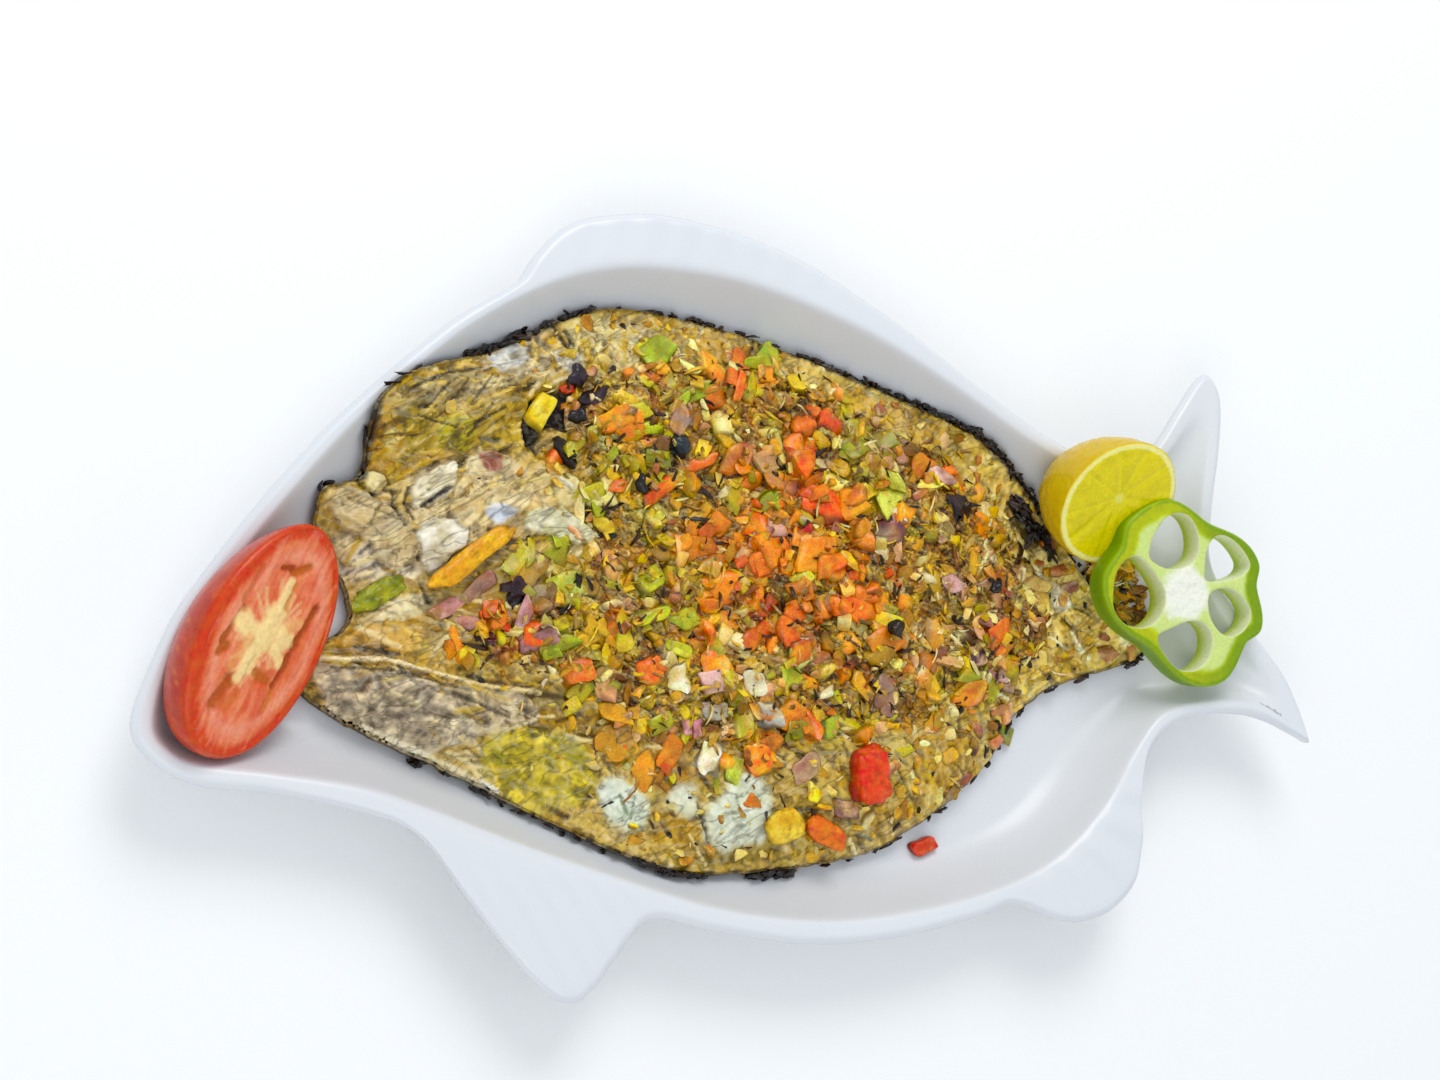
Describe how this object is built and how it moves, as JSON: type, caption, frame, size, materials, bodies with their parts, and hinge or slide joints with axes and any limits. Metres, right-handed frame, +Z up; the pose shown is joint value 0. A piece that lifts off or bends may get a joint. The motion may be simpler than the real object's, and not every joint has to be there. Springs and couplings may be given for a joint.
{
  "type": "grilled fish on a platter",
  "caption": "Whole opened grilled fish under chopped vegetables, in a white fish-shaped platter with half a tomato, half a lemon and a pepper ring.",
  "frame": {"origin": "centre of the bottom of the bounding box, on the plane the foot ring stands on", "axes": "+X from the platter's mouth to its tail, +Y to its back fin, +Z up"},
  "size_m": [0.4453, 0.2674, 0.0583],
  "materials": {
    "platter": "glossy white melamine",
    "fish": "grilled flesh and charred skin",
    "vegetable_topping": "moist chopped vegetables",
    "tomato_half": "wet cut tomato",
    "lemon_half": "wet cut lemon",
    "pepper_ring": "wet cut pepper",
    "red_pieces": "moist tomato",
    "orange_pieces": "moist tomato",
    "yellow_pieces": "moist pepper",
    "green_pieces": "moist pepper"
  },
  "bodies": {
    "root": {"platter": "platter", "fish": "fish", "vegetable_topping": "vegetable_topping", "tomato_half": "tomato_half", "lemon_half": "lemon_half", "pepper_ring": "pepper_ring", "tomato_chunk": "red_pieces", "fallen_tomato_piece": "red_pieces", "tomato_piece_belly": "orange_pieces", "pepper_piece_belly": "yellow_pieces", "yellow_piece_gill": "yellow_pieces", "yellow_pepper_strip": "yellow_pieces", "green_leaf_head": "green_pieces"}
  },
  "joints": []
}
